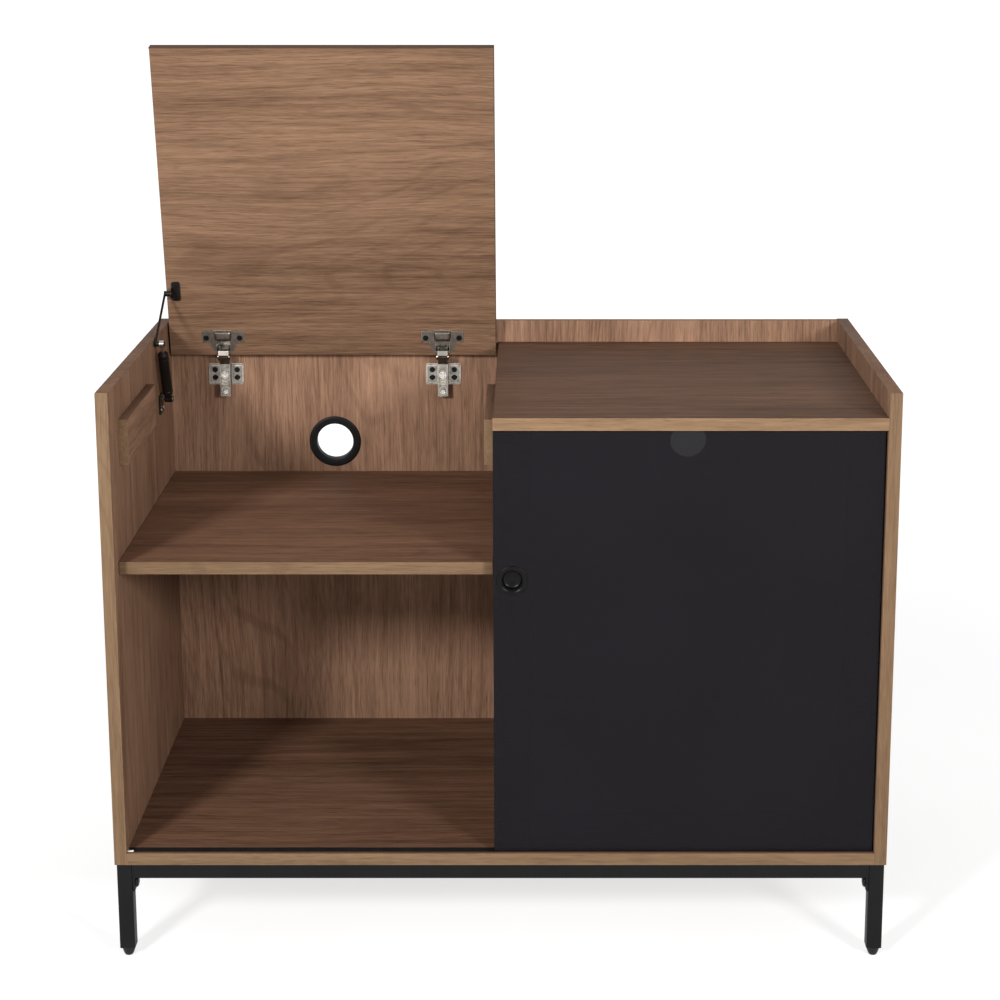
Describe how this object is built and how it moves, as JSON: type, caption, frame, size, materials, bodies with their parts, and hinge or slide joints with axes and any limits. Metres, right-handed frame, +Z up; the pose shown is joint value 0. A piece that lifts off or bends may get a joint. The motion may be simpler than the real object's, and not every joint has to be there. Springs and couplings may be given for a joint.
{
  "type": "media cabinet",
  "caption": "Low wooden media cabinet on a black steel base, with a lift-up lid over the left bay and a see-through sliding door on the right",
  "frame": {"origin": "on the floor, under the middle of the cabinet's width and depth", "axes": "+X to the right seen from the front, +Y to the back, +Z up; the front faces -Y"},
  "size_m": [1, 0.472, 1.1617],
  "materials": {
    "board_upright": "walnut-look laminate, upright grain, matt",
    "board_level": "walnut-look laminate, grain along the width, matt",
    "board_lid": "walnut-look laminate, grain along the width, matt",
    "beech": "plain",
    "base_steel": "black powder coat, satin",
    "stay_steel": "black, semi-gloss",
    "nickel": "nickel plated",
    "chrome_rod": "polished",
    "dark_screw": "blackened",
    "black_plastic": "matt",
    "nylon": "matt",
    "smoked_pane": "smoked, see-through, fine texture",
    "black_strip": "black, behind the pane"
  },
  "bodies": {
    "carcass": {"side_panel_left": "board_upright", "side_panel_right": "board_upright", "bottom_panel": "board_level", "top_panel": "board_level", "divider": "board_upright", "back_panel": "board_upright", "shelf_left": "board_level", "shelf_right_upper": "board_level", "shelf_right_lower": "board_level", "shelf_pins": "nickel", "dowels": "beech", "lid_batten_left": "board_upright", "lid_batten_right": "board_upright", "cable_grommet_left": "black_plastic", "cable_grommet_right": "black_plastic", "leg_front_left": "base_steel", "leg_front_right": "base_steel", "leg_rear_left": "base_steel", "leg_rear_right": "base_steel", "rail_front": "base_steel", "rail_rear": "base_steel", "rail_left": "base_steel", "rail_right": "base_steel", "rail_end_plates": "base_steel", "foot_glides": "black_plastic", "leg_bolts": "base_steel", "base_screws": "nickel", "hinge_plates": "nickel", "hinge_arms": "nickel", "hinge_plate_screws": "dark_screw", "hinge_arm_screws": "nickel", "stay_side_bracket": "stay_steel", "stay_side_pin": "nickel", "stay_side_screws": "nickel", "door_stop": "nylon"},
    "lid": {"lid_panel": "board_lid", "hinge_cups": "nickel", "hinge_link_covers": "nickel", "hinge_pins": "nickel", "hinge_cup_screws": "dark_screw", "stay_lid_bracket": "stay_steel", "stay_lid_stud": "stay_steel", "stay_lid_screws": "dark_screw"},
    "stay_lower": {"stay_barrel": "stay_steel", "stay_rod": "chrome_rod", "stay_elbow_pin": "stay_steel"},
    "stay_upper": {"stay_arm": "stay_steel"},
    "door": {"door_pane": "smoked_pane", "door_stile_left": "black_strip", "door_stile_right": "black_strip", "door_bottom_strip": "black_strip", "finger_pull": "black_plastic", "door_top_guide": "nylon", "door_pads": "nylon"}
  },
  "joints": [
    {"name": "lid_hinge", "type": "hinge", "parent": "carcass", "child": "lid", "pos_m": [-0.2465, 0.213, 0.72], "axis": [1, 0, 0], "range_deg": [0, 78.7]},
    {"name": "stay_side_pivot", "type": "hinge", "parent": "carcass", "child": "stay_lower", "pos_m": [-0.4725, 0.123, 0.666], "axis": [1, 0, 0], "range_deg": [0, 78.7]},
    {"name": "stay_lid_pivot", "type": "hinge", "parent": "lid", "child": "stay_upper", "pos_m": [-0.4817, 0.1763, 0.80669], "axis": [1, 0, 0], "range_deg": [-78.7, 0]},
    {"name": "door_slide", "type": "slide", "parent": "carcass", "child": "door", "axis": [-1, 0, 0], "range_m": [0, 0.4675]}
  ],
  "couplings": [
    {"joint": "stay_side_pivot", "follows": "lid_hinge", "ratio": 1},
    {"joint": "stay_lid_pivot", "follows": "lid_hinge", "ratio": -1}
  ]
}
